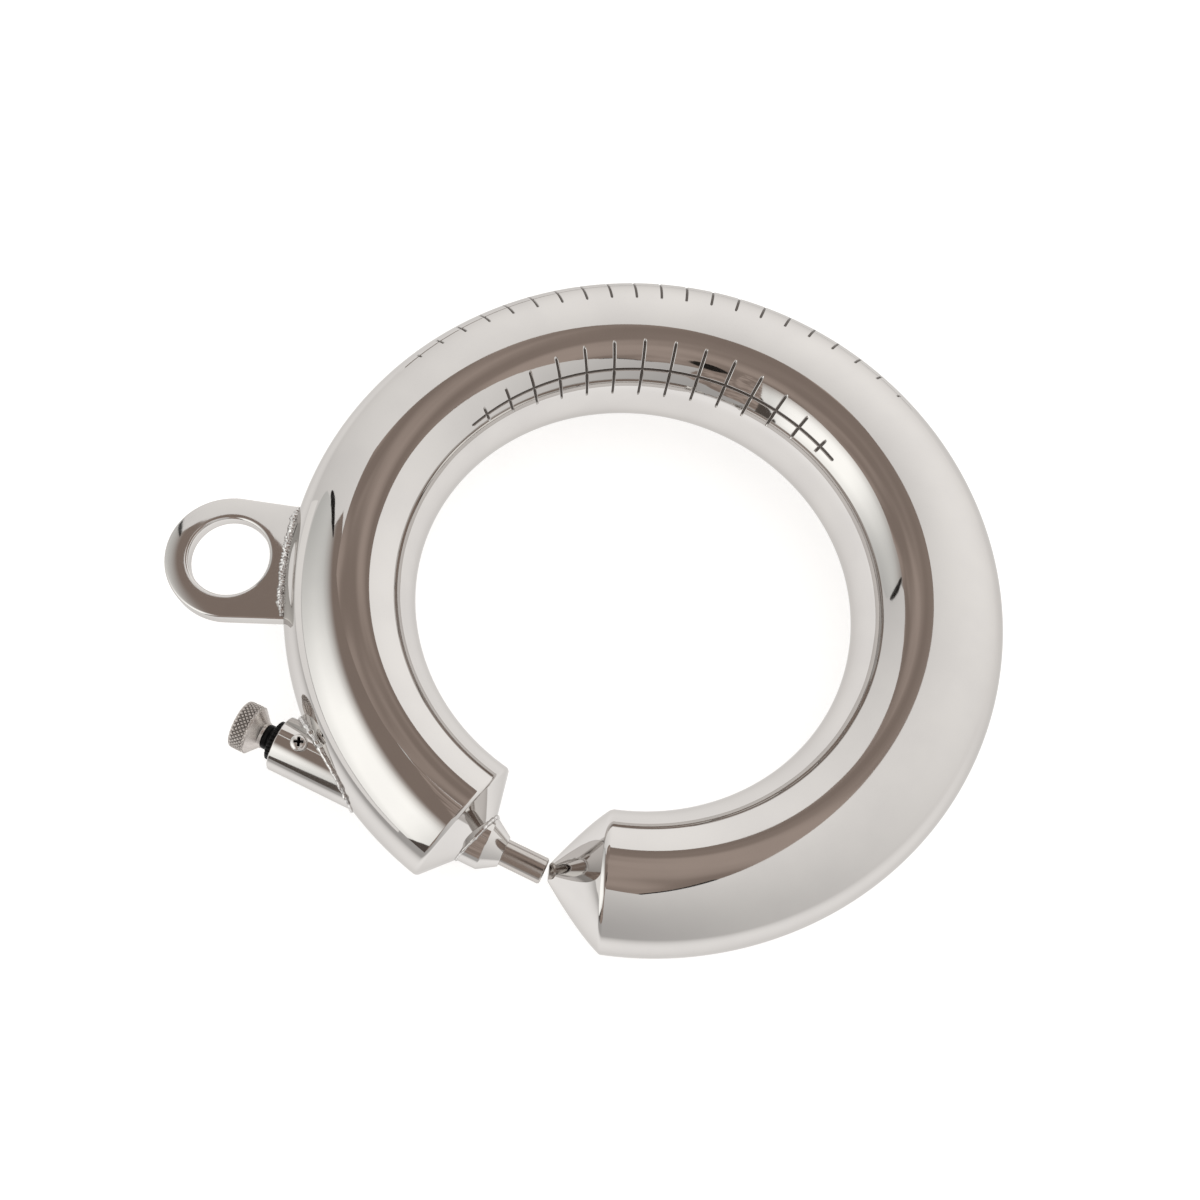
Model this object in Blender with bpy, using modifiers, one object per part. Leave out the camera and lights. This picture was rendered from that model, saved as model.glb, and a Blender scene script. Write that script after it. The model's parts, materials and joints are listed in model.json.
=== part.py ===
"""Anchor retrieval ring: a heavy stainless C-shaped ring whose gap is closed by a spring-loaded lock pin.

The ring slides down an anchor chain on a line shackled to its pad eye. Pulling the knurled knob draws the
lock pin back into its nose, the chain enters through the open gap, and the spring shuts the pin again.

Metres, +Z up. The ring lies flat, the gap faces -Y, and the lock pin slides along X, opening towards -X.
Turned pieces of the lock are drawn along the lock line: their local Z is world +X, measured from the foot
of the perpendicular from the ring's centre to that line.
"""
import math

import bpy
import bmesh
from mathutils import Matrix, Vector

# ---------------------------------------------------------------- ring and its two ends
RING_RADIUS = 0.121                      # centre of the ring to the centre of its bar
BAR_RADIUS = 0.0285
FREE_END_ANGLE = math.radians(-71.85)    # end the pin points at
PIN_END_ANGLE = math.radians(259.05)     # end the pin comes out of
FREE_END_LEAN = math.radians(8.7)        # joint face of the free end, its top leaning into the gap
PIN_END_SKEW = math.radians(5.0)         # joint face of the pin end, cut back towards the outside
FREE_CONE_LENGTH = 0.0227
FREE_CONE_TIP_RADIUS = 0.0033
PIN_CONE_HALF_ANGLE = math.radians(63.0)
PIN_CONE_TIP_RADIUS = 0.009              # inside the bore, so the bore cuts the tip away
BAR_SIDES = 48
RING_STEPS = 84
GAP = 0.0003                             # room left between touching solids

# ---------------------------------------------------------------- lock line, distances along it from its foot
LOCK_OFFSET = 0.1223                     # ring's centre to the lock line
HOUSING_MOUTH = -0.1054
HOUSING_FRONT = -0.0290
HOUSING_RADIUS = 0.012
HOUSING_BORE = 0.008
MOUTH_CHAMFER = 0.0005
NOSE_FACE = -0.0031
NOSE_SHOULDER = -0.0105                  # where the nose's chamfer starts
NOSE_RADIUS = 0.0112
NOSE_FACE_RADIUS = 0.0064
NOSE_SPIGOT_END = -0.0330
NOSE_BORE = 0.0069
NOSE_LIP = 0.0020                        # lip that keeps the wiper and liner in
WIPER_SETBACK = 0.0015                   # middle of the wiper behind the lip
WIPER_RADIUS = 0.0062
WIPER_CORD = 0.00048
LINER_SETBACK = 0.0028
BUMP_WASHER_THICKNESS = 0.0017
PIN_RADIUS = 0.0055
PIN_TIP = 0.0145
PIN_CHAMFER = 0.0006
HOUSING_BORE_REAR = -0.1250              # the cutters that make room in the ring for the lock
HOUSING_BORE_FRONT = -0.0100
NOSE_HOLE_REAR = -0.0450
NOSE_HOLE_FRONT = 0.0100
SHOULDER_FRONT = -0.0353
SHOULDER_THICKNESS = 0.0030
SHOULDER_RADIUS = 0.0076
ROD_RADIUS = 0.0030
ROD_SOCKET_DEPTH = 0.0140
RUNNING = 0.00015                        # clearance of the pin in its liner
ROD_RUNNING = 0.00025                    # clearance of the rod in the guide bush
WASHER_RUNNING = 0.0004                  # clearance of the spring's washers on the rod
SPRING_WASHER_THICKNESS = 0.0012
SPRING_REAR = -0.0819
SPRING_SEAT_ROOM = 0.0004
SPRING_MEAN_RADIUS = 0.0059
SPRING_WIRE_RADIUS = 0.0008
SPRING_TURNS = 10
SPRING_POINTS_PER_TURN = 12

# ---------------------------------------------------------------- guide bush and its screw
BUSH_FLANGE_END = -0.1086
BUSH_NECK_END = -0.1119
BUSH_FLANGE_RADIUS = 0.0086
BUSH_FLANGE_EDGE = 0.0006
BUSH_NECK_RADIUS = 0.0054
SEAL_PLACE = -0.1012
SEAL_GROOVE_HALF = 0.0015
SEAL_GROOVE_RADIUS = 0.0054
SEAL_RADIUS = 0.0042
SEAL_CORD = 0.00085
CORD_SIDES = 8
SCREW_PLACE = -0.0955
SCREW_TILT = math.radians(8.0)           # off vertical, towards the ring's centre
SCREW_SHANK_RADIUS = 0.0020
SCREW_HEAD_RADIUS = 0.0036
SCREW_HEAD_HEIGHT = 0.0024
SCREW_HEAD_RIM = 0.0007
SCREW_CROWN = ((0.0, 0.0014), (0.0003, 0.0026), (0.0010, 0.0034))    # depth below the top, radius
SCREW_REACH = 0.0055                     # how near the shank's end comes to the lock line
RECESS_LENGTH = 0.0046
RECESS_WIDTH = 0.0008
RECESS_DEPTH = 0.0016
RECESS_BOTTOM_LENGTH = 0.45              # share of the length left at the recess's bottom
RECESS_BOTTOM_WIDTH = 0.7
RECESS_TURN = math.radians(20)
CUTTER_OVERRUN = 0.0015

# ---------------------------------------------------------------- knob and the lock's weld beads
KNOB_RADIUS = 0.0106
KNOB_NECK_RADIUS = 0.0057
KNOB_NECK_LENGTH = 0.0009
KNOB_BAND_FRONT = -0.1177
KNOB_BAND_REAR = -0.1244
KNOB_BAND_TAPER = 0.0002
KNOB_CROWN = 0.0010
KNOB_CROWN_STEPS = 4
KNOB_HOLE_END = 0.0026                   # end of the rod's blind hole ahead of the band's rear
HOUSING_BEAD_RADIUS = 0.0011
NOSE_BEAD_RADIUS = 0.0009
BEAD_POINTS = 48
HOUSING_BEAD_SEARCH = (-0.110, -0.050)   # stretch of the lock line that the bead is looked for in
NOSE_BEAD_SEARCH = (0.000, -0.030)
HALVINGS = 40

# ---------------------------------------------------------------- pad eye
EYE_ANGLE = math.radians(199.7)
EYE_REACH = 0.1752                       # ring's centre to the hole's centre
EYE_RADIUS = 0.0286
EYE_HOLE_RADIUS = 0.0179
EYE_ROOT_HALF_WIDTH = 0.0268
EYE_THICKNESS = 0.008
EYE_EDGE = 0.0012
EYE_ARC_STEPS = 32
EYE_ROOT_STEPS = 10
EYE_HOLE_STEPS = 40
EYE_BEAD_HALF_WIDTH = 0.0256
EYE_BEAD_RADIUS = 0.0016
EYE_BEAD_STEPS = 16

# ---------------------------------------------------------------- where the ring's centre lies
RING_OUTER = RING_RADIUS + BAR_RADIUS
EYE_LOW_X = EYE_REACH * math.cos(EYE_ANGLE) - EYE_RADIUS
PIN_END_CUT_BACK = BAR_RADIUS * math.tan(PIN_END_SKEW)
PIN_END_LOW_Y = RING_OUTER * math.sin(PIN_END_ANGLE) - PIN_END_CUT_BACK * math.cos(PIN_END_ANGLE)
RING_CENTRE = Vector((-(RING_OUTER + EYE_LOW_X) / 2, -(RING_OUTER + PIN_END_LOW_Y) / 2, BAR_RADIUS))

for old in list(bpy.data.objects):
    bpy.data.objects.remove(old, do_unlink=True)

parts = bpy.data.collections.new("anchor_retrieval_ring")
cutters = bpy.data.collections.new("cutters")
bpy.context.scene.collection.children.link(parts)
bpy.context.scene.collection.children.link(cutters)


# ---------------------------------------------------------------- materials
def material(name, colour, metallic, roughness):
    made = bpy.data.materials.new(name)
    made.use_nodes = True
    shader = made.node_tree.nodes["Principled BSDF"]
    shader.inputs["Base Color"].default_value = (*colour, 1.0)
    shader.inputs["Metallic"].default_value = metallic
    shader.inputs["Roughness"].default_value = roughness
    return made


POLISHED = material("polished_stainless", (0.78, 0.76, 0.74), 1.0, 0.06)
SATIN = material("satin_stainless", (0.66, 0.63, 0.60), 1.0, 0.30)
WELD = material("weld_bead", (0.74, 0.73, 0.72), 1.0, 0.25)
SPRING_STEEL = material("spring_steel", (0.55, 0.55, 0.56), 1.0, 0.35)
BLACK_PLASTIC = material("black_plastic", (0.015, 0.015, 0.016), 0.0, 0.45)
LINER_BRONZE = material("liner_bronze", (0.60, 0.42, 0.20), 1.0, 0.40)
BLACK_RUBBER = material("black_rubber", (0.02, 0.02, 0.02), 0.0, 0.80)


# ---------------------------------------------------------------- frames the pieces are placed in
def empty(name, place, parent=None):
    frame = bpy.data.objects.new(name, None)
    frame.matrix_local = place
    frame.parent = parent
    parts.objects.link(frame)
    return frame


def bar_end_place(angle, into_gap):
    """At the bar's centre: X points out from the ring's centre, Y up, Z along the bar towards the gap."""
    out = Vector((math.cos(angle), math.sin(angle), 0))
    along = Vector((-math.sin(angle), math.cos(angle), 0)) * into_gap
    side = along.cross(out)
    turn = Matrix((out, side, along)).transposed().to_4x4()
    return Matrix.Translation(out * RING_RADIUS) @ turn


ring_centre = empty("ring_centre", Matrix.Translation(RING_CENTRE))
free_end = empty("free_end", bar_end_place(FREE_END_ANGLE, -1), ring_centre)
pin_end_place = bar_end_place(PIN_END_ANGLE, 1)
pin_end = empty("pin_end", pin_end_place, ring_centre)
lock_place = Matrix.Translation((0, -LOCK_OFFSET, 0)) @ Matrix.Rotation(math.pi / 2, 4, "Y")
lock_line = empty("lock_line", lock_place, ring_centre)
eye_frame = empty("eye_frame", Matrix.Rotation(EYE_ANGLE, 4, "Z"), ring_centre)


# ---------------------------------------------------------------- makers
def add_object(name, data, look, frame, collection=None):
    made = bpy.data.objects.new(name, data)
    made.parent = frame
    if look:
        data.materials.append(look)
    (collection or parts).objects.link(made)
    return made


def mesh_from(bm, name):
    mesh = bpy.data.meshes.new(name)
    bm.to_mesh(mesh)
    bm.free()
    return mesh


def smooth(mesh, sharp_degrees=30):
    mesh.shade_smooth()
    mesh.set_sharp_from_angle(angle=math.radians(sharp_degrees))


def turned(name, profile, look, frame, steps=40, closed=False):
    """Profile of (along, radius) turned about the frame's Z. It starts on top and runs down the outside."""
    mesh = bpy.data.meshes.new(name)
    edges = [(i, i + 1) for i in range(len(profile) - 1)]
    if closed:
        edges.append((len(profile) - 1, 0))
    mesh.from_pydata([(radius, 0, along) for along, radius in profile], edges, [])
    made = add_object(name, mesh, look, frame)
    screw = made.modifiers.new("turn", "SCREW")
    screw.steps = steps
    screw.render_steps = steps
    screw.use_merge_vertices = True
    screw.merge_threshold = 0.00001
    screw.use_smooth_shade = True
    return made


def washer(name, front, thickness, inner, outer, look, frame=lock_line):
    rear = front - thickness
    section = [(front, inner), (front, outer), (rear, outer), (rear, inner)]
    turned(name, section, look, frame, closed=True)


def seal_ring(name, place, mean_radius, cord_radius):
    """An O-ring: a round section turned about the lock line."""
    section = []
    for i in range(CORD_SIDES):
        angle = math.pi / 2 - 2 * math.pi * i / CORD_SIDES
        section.append((place + cord_radius * math.sin(angle), mean_radius + cord_radius * math.cos(angle)))
    turned(name, section, BLACK_RUBBER, lock_line, steps=32, closed=True)


def cylinder_cutter(name, radius, start, end, frame, sides=64):
    bm = bmesh.new()
    bmesh.ops.create_cone(bm, cap_ends=True, segments=sides, radius1=radius, radius2=radius,
                          depth=end - start)
    bmesh.ops.translate(bm, verts=bm.verts, vec=(0, 0, (start + end) / 2))
    return cutter(name, mesh_from(bm, name), frame)


def cutter(name, mesh, frame):
    tool = add_object(name, mesh, None, frame, cutters)
    tool.hide_render = True
    tool.display_type = "WIRE"
    return tool


def cut(piece, tool):
    boolean = piece.modifiers.new("cut_" + tool.name, "BOOLEAN")
    boolean.operation = "DIFFERENCE"
    boolean.solver = "EXACT"
    boolean.object = tool


def wire(name, points, radius, look, frame, closed=False, resolution=2):
    curve = bpy.data.curves.new(name, "CURVE")
    curve.dimensions = "3D"
    curve.bevel_depth = radius
    curve.bevel_resolution = resolution
    curve.use_fill_caps = not closed
    spline = curve.splines.new("POLY")
    spline.points.add(len(points) - 1)
    for point, place in zip(spline.points, points):
        point.co = (*place, 1)
    spline.use_cyclic_u = closed
    return add_object(name, curve, look, frame)


# ---------------------------------------------------------------- ring body and its end cones
def make_ring_body():
    """Round bar bent through the arc between the two ends, with the lock's bore through its left arm."""
    bm = bmesh.new()
    section = bmesh.ops.create_circle(bm, cap_ends=True, segments=BAR_SIDES, radius=BAR_RADIUS)["verts"]
    stand = Matrix.Translation((RING_RADIUS, 0, 0)) @ Matrix.Rotation(math.pi / 2, 4, "X")
    start = Matrix.Rotation(PIN_END_ANGLE, 4, "Z")
    bmesh.ops.transform(bm, matrix=start @ stand, verts=section)
    sweep = bmesh.ops.spin(bm, geom=bm.faces[:], cent=(0, 0, 0), axis=(0, 0, 1), steps=RING_STEPS,
                           angle=FREE_END_ANGLE - PIN_END_ANGLE)
    towards_gap = Vector((math.sin(FREE_END_ANGLE), -math.cos(FREE_END_ANGLE), 0))
    for item in sweep["geom_last"]:
        if isinstance(item, bmesh.types.BMVert):
            item.co += towards_gap * (item.co.z * math.tan(FREE_END_LEAN))
    towards_gap = Vector((-math.sin(PIN_END_ANGLE), math.cos(PIN_END_ANGLE), 0))
    for vert in section:
        outward = vert.co.xy.length - RING_RADIUS
        vert.co -= towards_gap * (outward * math.tan(PIN_END_SKEW))
    bmesh.ops.recalc_face_normals(bm, faces=bm.faces)
    mesh = mesh_from(bm, "ring_body")
    smooth(mesh)
    body = add_object("ring_body", mesh, POLISHED, ring_centre)
    cut(body, cylinder_cutter("housing_bore", HOUSING_RADIUS + GAP, HOUSING_BORE_REAR, HOUSING_BORE_FRONT,
                              lock_line))


def make_free_end_cone():
    """Solid cone on the free end. Its base follows the leaning joint face, its tip is on the bar's line."""
    bm = bmesh.new()
    length = FREE_CONE_LENGTH - GAP
    bmesh.ops.create_cone(bm, cap_ends=True, segments=BAR_SIDES, radius1=BAR_RADIUS,
                          radius2=FREE_CONE_TIP_RADIUS, depth=length)
    bmesh.ops.translate(bm, verts=bm.verts, vec=(0, 0, GAP + length / 2))
    for vert in bm.verts:
        if vert.co.z < length / 2:
            vert.co.z += vert.co.y * math.tan(FREE_END_LEAN)
    mesh = mesh_from(bm, "free_end_cone")
    smooth(mesh)
    add_object("free_end_cone", mesh, POLISHED, free_end)


def make_pin_end_cone():
    """Blunt cone square to the skewed joint face of the pin end, bored along the lock line for the nose."""
    length = (BAR_RADIUS - PIN_CONE_TIP_RADIUS) / math.tan(PIN_CONE_HALF_ANGLE)
    bm = bmesh.new()
    bmesh.ops.create_cone(bm, cap_ends=True, segments=BAR_SIDES, radius1=BAR_RADIUS,
                          radius2=PIN_CONE_TIP_RADIUS, depth=length)
    bmesh.ops.translate(bm, verts=bm.verts, vec=(0, 0, length / 2))
    slope = math.tan(PIN_END_SKEW)
    for vert in bm.verts:
        vert.co.x += vert.co.z * slope
        vert.co.z += GAP - vert.co.x * slope
    mesh = mesh_from(bm, "pin_end_cone")
    smooth(mesh)
    cone = add_object("pin_end_cone", mesh, POLISHED, pin_end)
    cut(cone, cylinder_cutter("nose_hole", NOSE_RADIUS + GAP, NOSE_HOLE_REAR, NOSE_HOLE_FRONT, lock_line))


# ---------------------------------------------------------------- lock: fixed pieces
def make_housing():
    profile = [
        (HOUSING_FRONT, HOUSING_BORE),
        (HOUSING_FRONT, HOUSING_RADIUS),
        (HOUSING_MOUTH + MOUTH_CHAMFER, HOUSING_RADIUS),
        (HOUSING_MOUTH, HOUSING_RADIUS - MOUTH_CHAMFER),
        (HOUSING_MOUTH, HOUSING_BORE),
    ]
    housing = turned("plunger_housing", profile, POLISHED, lock_line, steps=48, closed=True)
    hole_start = HOUSING_BORE - CUTTER_OVERRUN
    hole_end = HOUSING_RADIUS + CUTTER_OVERRUN
    cut(housing, screw_hole("housing_screw_hole", hole_start, hole_end))


def make_nose():
    bore_front = NOSE_FACE - NOSE_LIP
    profile = [
        (NOSE_FACE, PIN_RADIUS + GAP),
        (NOSE_FACE, NOSE_FACE_RADIUS),
        (NOSE_SHOULDER, NOSE_RADIUS),
        (HOUSING_FRONT + GAP, NOSE_RADIUS),
        (HOUSING_FRONT + GAP, HOUSING_BORE - GAP),
        (NOSE_SPIGOT_END, HOUSING_BORE - GAP),
        (NOSE_SPIGOT_END, NOSE_BORE),
        (bore_front, NOSE_BORE),
        (bore_front, PIN_RADIUS + GAP),
    ]
    turned("nose_bush", profile, POLISHED, lock_line, steps=48, closed=True)
    seal_ring("pin_wiper", bore_front - WIPER_SETBACK, WIPER_RADIUS, WIPER_CORD)
    liner_front = bore_front - LINER_SETBACK
    washer("nose_liner", liner_front, liner_front - NOSE_SPIGOT_END, PIN_RADIUS + RUNNING, NOSE_BORE - GAP,
           LINER_BRONZE)
    washer("bump_washer", NOSE_SPIGOT_END - GAP, BUMP_WASHER_THICKNESS, PIN_RADIUS + GAP, HOUSING_BORE - GAP,
           BLACK_RUBBER)


def make_guide_bush():
    """Black bush that closes the housing: spigot in the bore, flange on the mouth and a neck for the rod."""
    rear_washer_front = SPRING_REAR - SPRING_SEAT_ROOM
    washer("rear_spring_washer", rear_washer_front, SPRING_WASHER_THICKNESS, ROD_RADIUS + WASHER_RUNNING,
           HOUSING_BORE - GAP, SATIN)
    spigot_front = rear_washer_front - SPRING_WASHER_THICKNESS - GAP
    rod_bore = ROD_RADIUS + ROD_RUNNING
    profile = [
        (spigot_front, rod_bore),
        (spigot_front, HOUSING_BORE - GAP),
        (HOUSING_MOUTH - GAP, HOUSING_BORE - GAP),
        (HOUSING_MOUTH - GAP, BUSH_FLANGE_RADIUS),
        (BUSH_FLANGE_END, BUSH_FLANGE_RADIUS - BUSH_FLANGE_EDGE),
        (BUSH_FLANGE_END, BUSH_NECK_RADIUS),
        (BUSH_NECK_END, BUSH_NECK_RADIUS),
        (BUSH_NECK_END, rod_bore),
        (SEAL_PLACE - SEAL_GROOVE_HALF, rod_bore),
        (SEAL_PLACE - SEAL_GROOVE_HALF, SEAL_GROOVE_RADIUS),
        (SEAL_PLACE + SEAL_GROOVE_HALF, SEAL_GROOVE_RADIUS),
        (SEAL_PLACE + SEAL_GROOVE_HALF, rod_bore),
    ]
    bush = turned("guide_bush", profile, BLACK_PLASTIC, lock_line, closed=True)
    cut(bush, screw_hole("bush_screw_hole", SCREW_REACH - GAP, HOUSING_BORE + CUTTER_OVERRUN))
    seal_ring("rod_seal", SEAL_PLACE, SEAL_RADIUS, SEAL_CORD)


def screw_frame():
    """Z runs out of the lock line through the screw, tilted from straight up towards the ring's centre."""
    up = Vector((-math.cos(SCREW_TILT), math.sin(SCREW_TILT), 0))
    along = Vector((0, 0, 1))
    turn = Matrix((along.cross(up), along, up)).transposed()
    place = Matrix.Translation((0, 0, SCREW_PLACE)) @ turn.to_4x4()
    return empty("screw_line", place, lock_line)


def screw_hole(name, start, end):
    return cylinder_cutter(name, SCREW_SHANK_RADIUS + GAP, start, end, screw_line, sides=24)


def make_bush_screw():
    """Pan head screw with a cross recess, through the housing's wall into the guide bush."""
    seat = HOUSING_RADIUS + GAP
    top = seat + SCREW_HEAD_HEIGHT
    profile = [(top, 0)]
    for depth, radius in SCREW_CROWN:
        profile.append((top - depth, radius))
    profile += [
        (seat + SCREW_HEAD_RIM, SCREW_HEAD_RADIUS),
        (seat, SCREW_HEAD_RADIUS),
        (seat, SCREW_SHANK_RADIUS),
        (SCREW_REACH, SCREW_SHANK_RADIUS),
        (SCREW_REACH, 0),
    ]
    screw = turned("bush_screw", profile, SATIN, screw_line, steps=24)
    cut(screw, recess_arm("recess_arm_a", top, 0))
    cut(screw, recess_arm("recess_arm_b", top, math.pi / 2))


def recess_arm(name, top, turn):
    """One arm of the cross recess: a slab that narrows towards the bottom."""
    height = RECESS_DEPTH + CUTTER_OVERRUN
    bm = bmesh.new()
    bmesh.ops.create_cube(bm, size=1)
    for vert in bm.verts:
        if vert.co.z < 0:
            vert.co.x *= RECESS_BOTTOM_LENGTH
            vert.co.y *= RECESS_BOTTOM_WIDTH
    bmesh.ops.scale(bm, vec=(RECESS_LENGTH, RECESS_WIDTH, height), verts=bm.verts)
    bmesh.ops.translate(bm, verts=bm.verts, vec=(0, 0, top - RECESS_DEPTH + height / 2))
    spin = Matrix.Rotation(turn + RECESS_TURN, 3, "Z")
    bmesh.ops.rotate(bm, verts=bm.verts, cent=(0, 0, 0), matrix=spin)
    return cutter(name, mesh_from(bm, name), screw_line)


# ---------------------------------------------------------------- lock: moving pieces
def make_lock_pin():
    shoulder_rear = SHOULDER_FRONT - SHOULDER_THICKNESS
    socket_radius = ROD_RADIUS + GAP
    profile = [
        (PIN_TIP, 0),
        (PIN_TIP, PIN_RADIUS - PIN_CHAMFER),
        (PIN_TIP - PIN_CHAMFER, PIN_RADIUS),
        (SHOULDER_FRONT, PIN_RADIUS),
        (SHOULDER_FRONT, SHOULDER_RADIUS),
        (shoulder_rear, SHOULDER_RADIUS),
        (shoulder_rear, socket_radius),
        (shoulder_rear + ROD_SOCKET_DEPTH, socket_radius),
        (shoulder_rear + ROD_SOCKET_DEPTH, 0),
    ]
    turned("lock_pin", profile, SATIN, lock_line, steps=40)
    rod_front = shoulder_rear + ROD_SOCKET_DEPTH - GAP
    rod_rear = KNOB_BAND_REAR + KNOB_HOLE_END + GAP
    turned("pull_rod", [(rod_front, 0), (rod_front, ROD_RADIUS), (rod_rear, ROD_RADIUS), (rod_rear, 0)],
           SATIN, lock_line, steps=24)
    washer("thrust_washer", shoulder_rear - GAP, SPRING_WASHER_THICKNESS, ROD_RADIUS + WASHER_RUNNING,
           SHOULDER_RADIUS, SATIN)


def make_return_spring():
    front = SHOULDER_FRONT - SHOULDER_THICKNESS - GAP - SPRING_WASHER_THICKNESS - GAP
    first = front - SPRING_WIRE_RADIUS
    last = SPRING_REAR + SPRING_WIRE_RADIUS
    count = SPRING_TURNS * SPRING_POINTS_PER_TURN
    points = []
    for i in range(count + 1):
        turn = 2 * math.pi * i / SPRING_POINTS_PER_TURN
        along = first + (last - first) * i / count
        points.append((SPRING_MEAN_RADIUS * math.cos(turn), SPRING_MEAN_RADIUS * math.sin(turn), along))
    wire("return_spring", points, SPRING_WIRE_RADIUS, SPRING_STEEL, lock_line)


def make_knob():
    """Knurled band, domed end and a conical skirt down to the neck, with a blind hole for the rod."""
    hole_radius = ROD_RADIUS + GAP
    hole_end = KNOB_BAND_REAR + KNOB_HOLE_END
    neck = BUSH_NECK_END - GAP
    band_rear_radius = KNOB_RADIUS - KNOB_BAND_TAPER
    profile = [
        (hole_end, 0),
        (hole_end, hole_radius),
        (neck, hole_radius),
        (neck, KNOB_NECK_RADIUS),
        (neck - KNOB_NECK_LENGTH, KNOB_NECK_RADIUS),
        (KNOB_BAND_FRONT, KNOB_RADIUS),
        (KNOB_BAND_REAR, band_rear_radius),
    ]
    for i in range(1, KNOB_CROWN_STEPS):
        turn = math.pi / 2 * i / KNOB_CROWN_STEPS
        profile.append((KNOB_BAND_REAR - KNOB_CROWN * math.sin(turn), band_rear_radius * math.cos(turn)))
    profile.append((KNOB_BAND_REAR - KNOB_CROWN, 0))
    turned("pull_knob", profile, SATIN, lock_line, steps=48)


# ---------------------------------------------------------------- weld beads round the lock
def bead_loop(name, tube_radius, bead_radius, distance_to_wall, search):
    """A closed bead lying against a tube on the lock line and against a wall that the tube comes out of.

    distance_to_wall takes a place in the ring centre's frame. The bead's centre keeps the same distance
    to the tube and to the wall, which is found by halving the stretch of the line between the two ends.
    """
    clear = bead_radius + GAP
    reach = tube_radius + clear
    points = []
    for i in range(BEAD_POINTS):
        turn = 2 * math.pi * i / BEAD_POINTS
        free, blocked = search
        for _ in range(HALVINGS):
            middle = (free + blocked) / 2
            place = lock_place @ Vector((reach * math.cos(turn), reach * math.sin(turn), middle))
            if distance_to_wall(place) > clear:
                free = middle
            else:
                blocked = middle
        points.append((reach * math.cos(turn), reach * math.sin(turn), free))
    wire(name, points, bead_radius, WELD, lock_line, closed=True)


def distance_to_ring(place):
    return math.hypot(math.hypot(place.x, place.y) - RING_RADIUS, place.z) - BAR_RADIUS


def distance_to_pin_cone(place):
    local = pin_end_place.inverted() @ place
    slope = math.tan(PIN_END_SKEW)
    ahead = local.z - GAP + local.x * slope
    reach = math.hypot(local.x - ahead * slope, local.y)
    return ahead * math.sin(PIN_CONE_HALF_ANGLE) + (reach - BAR_RADIUS) * math.cos(PIN_CONE_HALF_ANGLE)


# ---------------------------------------------------------------- pad eye
def make_pad_eye():
    """Plate with a round end and sides that close in slightly to the ring, round which it is hollowed."""
    root_radius = RING_OUTER + GAP
    root = Vector((math.sqrt(root_radius ** 2 - EYE_ROOT_HALF_WIDTH ** 2), EYE_ROOT_HALF_WIDTH))
    to_root = root - Vector((EYE_REACH, 0))
    tangent = math.atan2(to_root.y, to_root.x) - math.acos(EYE_RADIUS / to_root.length)
    outline = []
    for i in range(EYE_ARC_STEPS + 1):
        turn = tangent * (1 - 2 * i / EYE_ARC_STEPS)
        outline.append((EYE_REACH + EYE_RADIUS * math.cos(turn), EYE_RADIUS * math.sin(turn)))
    root_half_angle = math.asin(EYE_ROOT_HALF_WIDTH / root_radius)
    for i in range(EYE_ROOT_STEPS + 1):
        turn = root_half_angle * (2 * i / EYE_ROOT_STEPS - 1)
        outline.append((root_radius * math.cos(turn), root_radius * math.sin(turn)))
    hole = []
    for i in range(EYE_HOLE_STEPS):
        turn = 2 * math.pi * i / EYE_HOLE_STEPS
        hole.append((EYE_REACH + EYE_HOLE_RADIUS * math.cos(turn), EYE_HOLE_RADIUS * math.sin(turn)))

    curve = bpy.data.curves.new("pad_eye", "CURVE")
    curve.dimensions = "2D"
    curve.fill_mode = "BOTH"
    curve.extrude = EYE_THICKNESS / 2
    for ring in (outline, hole):
        spline = curve.splines.new("POLY")
        spline.points.add(len(ring) - 1)
        for point, place in zip(spline.points, ring):
            point.co = (*place, 0, 1)
        spline.use_cyclic_u = True
    eye = add_object("pad_eye", curve, POLISHED, eye_frame)
    weld = eye.modifiers.new("weld", "WELD")
    weld.merge_threshold = 0.00001
    rounding = eye.modifiers.new("rounded_edges", "BEVEL")
    rounding.width = EYE_EDGE
    rounding.segments = 2
    rounding.limit_method = "ANGLE"
    rounding.angle_limit = math.radians(60)


def make_eye_bead(name, side):
    """Fillet bead along the plate's root, above (side 1) or below (side -1)."""
    clear = EYE_BEAD_RADIUS + GAP
    height = side * (EYE_THICKNESS / 2 + clear)
    reach = RING_RADIUS + math.sqrt((BAR_RADIUS + clear) ** 2 - height ** 2)
    half_angle = EYE_BEAD_HALF_WIDTH / reach
    points = []
    for i in range(EYE_BEAD_STEPS + 1):
        turn = half_angle * (2 * i / EYE_BEAD_STEPS - 1)
        points.append((reach * math.cos(turn), reach * math.sin(turn), height))
    wire(name, points, EYE_BEAD_RADIUS, WELD, eye_frame)


screw_line = screw_frame()
make_ring_body()
make_free_end_cone()
make_pin_end_cone()
make_housing()
make_nose()
make_guide_bush()
make_bush_screw()
make_lock_pin()
make_return_spring()
make_knob()
bead_loop("housing_weld", HOUSING_RADIUS, HOUSING_BEAD_RADIUS, distance_to_ring, HOUSING_BEAD_SEARCH)
bead_loop("nose_weld", NOSE_RADIUS, NOSE_BEAD_RADIUS, distance_to_pin_cone, NOSE_BEAD_SEARCH)
make_pad_eye()
make_eye_bead("pad_eye_weld_top", 1)
make_eye_bead("pad_eye_weld_bottom", -1)
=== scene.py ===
"""Looks of the anchor retrieval ring: a mirror-polished C-shaped ring with a spring-loaded lock pin.

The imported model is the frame. Every visible piece is built again here in finer mesh code on that frame,
with engraved marks, lumpy weld beads, a knurled knob and rounded edges, and gets a node material.
Lengths are in metres. Places along the lock pin's line are measured from the record's lock axis point.
"""
import json
import math

import bmesh
import bpy
from mathutils import Matrix, Vector, noise


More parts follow.
